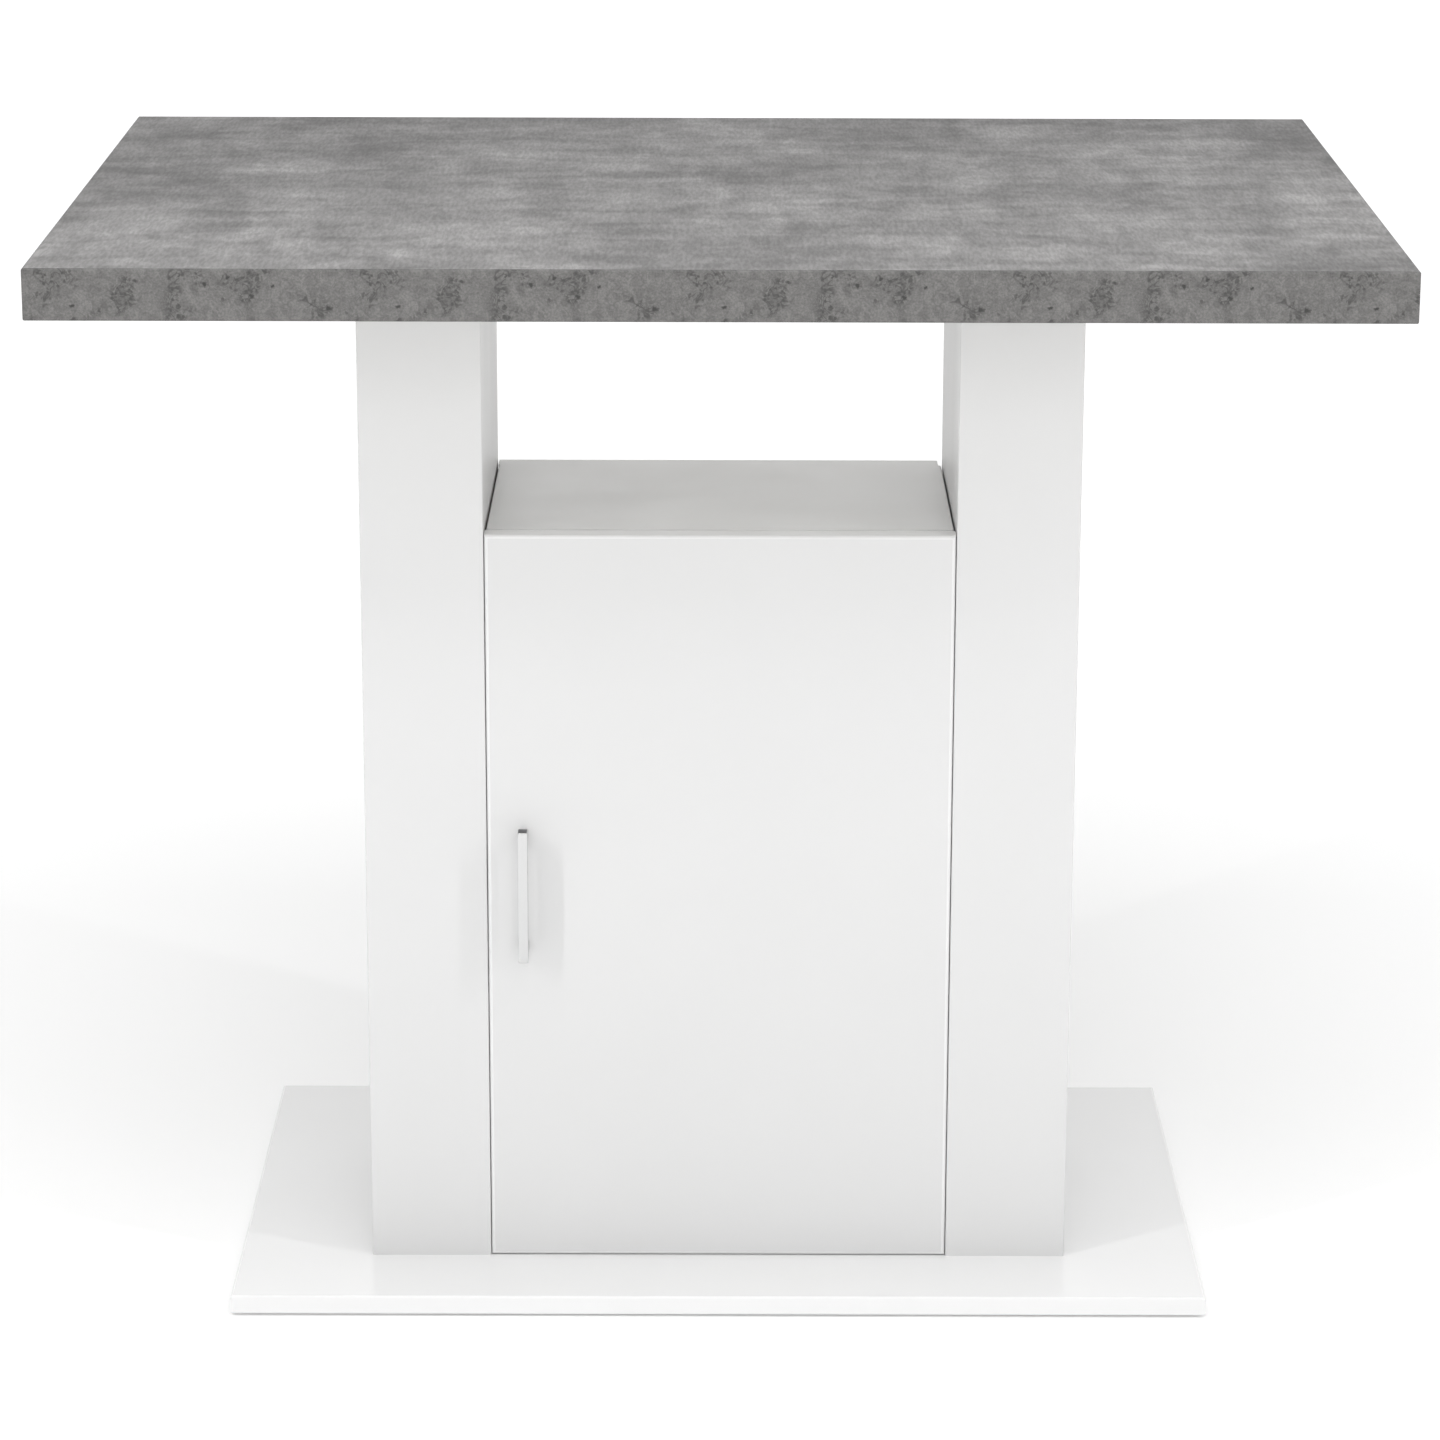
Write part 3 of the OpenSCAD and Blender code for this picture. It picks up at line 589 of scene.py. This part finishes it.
# The dark finish on the end faces is painted shade, standing for the shaded worktop the ends would
# mirror.
handle.data.materials.append(plated_steel("dark_end_painted_shade", (0.16, 0.16, 0.165), 0.5))
half_length = (handle_high.z - handle_low.z) / 2
for face in handle.data.polygons:
    at_end = abs(face.center.z - mid_z) > half_length - 0.1 * MM
    face.material_index = int(at_end and abs(face.normal.z) > 0.99)
print("end faces with painted shade", sum(face.material_index for face in handle.data.polygons))
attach(handle, "door")
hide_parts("handle")

# %% [markdown]
# ## Door buffers
#
# Two clear drops of soft plastic keep the door from slapping against the cabinet. Each one is a
# low cylinder whose free rim is rounded over, which makes it look like a drop that has set. A
# flattened ball would lack the straight foot that sticks to the door. One drop is modelled, and
# the other is its copy at the height of the second buffer.

# %% Door buffers
buffer_low, buffer_high = (Vector(v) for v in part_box("door_buffers"))
buffer_r = (buffer_high.x - buffer_low.x) / 2
buffer_t = buffer_high.y - buffer_low.y
centre = Vector((buffer_low.x + buffer_r, buffer_low.y + buffer_t / 2, buffer_low.z + buffer_r))
bpy.ops.object.select_all(action="DESELECT")
bpy.ops.mesh.primitive_cylinder_add(vertices=48, radius=buffer_r, depth=buffer_t, location=centre,
                                    rotation=(pi / 2, 0, 0))
lower_drop = bpy.context.object
bpy.ops.object.transform_apply(location=True, rotation=True, scale=True)
select_faces(lower_drop, lambda face: face.normal.y > 0.9)
bpy.ops.mesh.bevel(offset=buffer_t * 0.8, segments=5)
bpy.ops.object.mode_set(mode="OBJECT")
bpy.ops.object.shade_smooth_by_angle(angle=radians(40))
rise = buffer_high.z - buffer_low.z - 2 * buffer_r
bpy.ops.object.duplicate_move(TRANSFORM_OT_translate={"value": (0, 0, rise)})
bpy.ops.object.transform_apply(location=True, rotation=False, scale=False)
lower_drop.select_set(True)
bpy.context.view_layer.objects.active = lower_drop
bpy.ops.object.join()
buffers = bpy.context.object
buffers.name = "door_buffer_drops"
buffers.data.materials.append(clear_rubber)
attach(buffers, "door")
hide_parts("door_buffers")
print("buffers", [round(v / MM, 1) for v in (2 * buffer_r, buffer_t)], "mm")

# %% [markdown]
# ## The floor
#
# The photograph is a studio shot on white: the floor melts into the background and only a faint
# shade gathers round the base. The wide pale floor gives off a little light of its own, less near
# the island and more far behind it. This glow is painted light: the weaker glow near the island
# paints part of the shade round its foot, with the lamps casting the rest, and the stronger glow
# far behind burns the background out to white. The glow is a ramp over the distance from the
# island's foot.

# %% Floor
# Less glow near the island is painted shade round its foot; more glow far away is painted light.
FLOOR_GLOW = [(0.5, 0.13), (1.6, 0.33), (2.7, 0.47), (6, 0.6)]  # (metres away, light)
GLOW_REACH = 8
FLOOR_SIZE, FLOOR_SHIFT = 60, 20

bpy.ops.object.select_all(action="DESELECT")
bpy.ops.mesh.primitive_plane_add(size=FLOOR_SIZE, location=(0, FLOOR_SHIFT, 0))
bpy.ops.object.transform_apply(location=True, rotation=True, scale=True)
floor = bpy.context.object
floor.name = "floor"
floor_finish, floor_shader = new_finish("studio_floor", 0.9)
floor_place = object_place(floor_finish)
floor_tone = ramp(floor_finish, noise(floor_finish, floor_place, 2.0), [(0.3, 0.866), (0.7, 0.876)])
link(floor_finish, floor_tone, floor_shader, "Base Color")
away = add(floor_finish, "ShaderNodeVectorMath", {0: floor_place}, operation="LENGTH")
share = add(floor_finish, "ShaderNodeMath", {0: away.outputs["Value"], 1: GLOW_REACH},
            operation="DIVIDE").outputs[0]
glow = ramp(floor_finish, share, [(metres / GLOW_REACH, light) for metres, light in FLOOR_GLOW])
link(floor_finish, glow, floor_shader, "Emission Color")
floor_shader.inputs["Emission Strength"].default_value = 1.0
floor.data.materials.append(floor_finish)
print("floor", FLOOR_SIZE, "m wide")

# %% [markdown]
# ## The sky
#
# A plain even sky stands for the white walls of the studio. It is brighter behind the object, so
# that the background burns out to white, and white just above the horizon on all sides, so that
# the floor seems to have no end. Both follow the direction of view alone.

# %% Sky
SKY, SKY_BEHIND, HAZE = 0.457, 1.228, 1.0
HAZE_LOW, HAZE_TOP = 0.045, 0.09

world = bpy.data.worlds.new("sky")
world.use_nodes = True
scene.world = world
sky_nodes, sky_links = world.node_tree.nodes, world.node_tree.links
direction = sky_nodes.new("ShaderNodeTexCoord").outputs["Generated"]
parts = sky_nodes.new("ShaderNodeSeparateXYZ")
sky_links.new(direction, parts.inputs[0])
brighter = sky_nodes.new("ShaderNodeMath")
brighter.operation = "MAXIMUM"
fades = (("Y", (0, 1, SKY, SKY_BEHIND)), ("Z", (HAZE_LOW, HAZE_TOP, HAZE, 0)))
for index, (axis, limits) in enumerate(fades):
    fade = sky_nodes.new("ShaderNodeMapRange")
    sky_links.new(parts.outputs[axis], fade.inputs["Value"])
    for key, limit in zip(("From Min", "From Max", "To Min", "To Max"), limits):
        fade.inputs[key].default_value = limit
    sky_links.new(fade.outputs["Result"], brighter.inputs[index])
sky_links.new(brighter.outputs[0], sky_nodes["Background"].inputs["Color"])
print("sky", SKY, "in front,", SKY_BEHIND, "behind")

# %% [markdown]
# ## Soft boxes
#
# Two tall narrow soft boxes at the sides draw the slanting shade lines on the base board. A
# third one above the front lets the worktop darken towards its rear edge, and a broad one behind
# the camera fills the front and the open niche. Each is an area light, which gives the soft
# shade of a real lamp of that size, and looks at the middle of the island.

# %% Soft boxes
LIGHT_TARGET = Vector((0, 0, 0.5))


def soft_box(name, place, width, height, power):
    """A soft box that looks at the island and isn't seen itself. Metres and watts."""
    data = bpy.data.lights.new(name, "AREA")
    data.shape = "RECTANGLE"
    data.size, data.size_y = width, height
    data.energy = power
    lamp = bpy.data.objects.new(name, data)
    scene.collection.objects.link(lamp)
    lamp.location = place
    lamp.rotation_euler = (LIGHT_TARGET - Vector(place)).to_track_quat("-Z", "Y").to_euler()
    lamp.visible_camera = False
    print(name, width, "x", height, "m,", power, "W")


soft_box("left_box", (-2.27, -1.91, 2.1), 0.05, 1.8, 23)
soft_box("right_box", (2.5, -1.46, 2.1), 0.05, 1.8, 23)
soft_box("front_box", (0, -1.03, 2.44), 2.0, 1.0, 19)
soft_box("camera_box", (0, -4.2, 2.2), 2.4, 1.6, 33.5)
scene.view_settings.view_transform = "Standard"
scene.view_settings.look = "None"
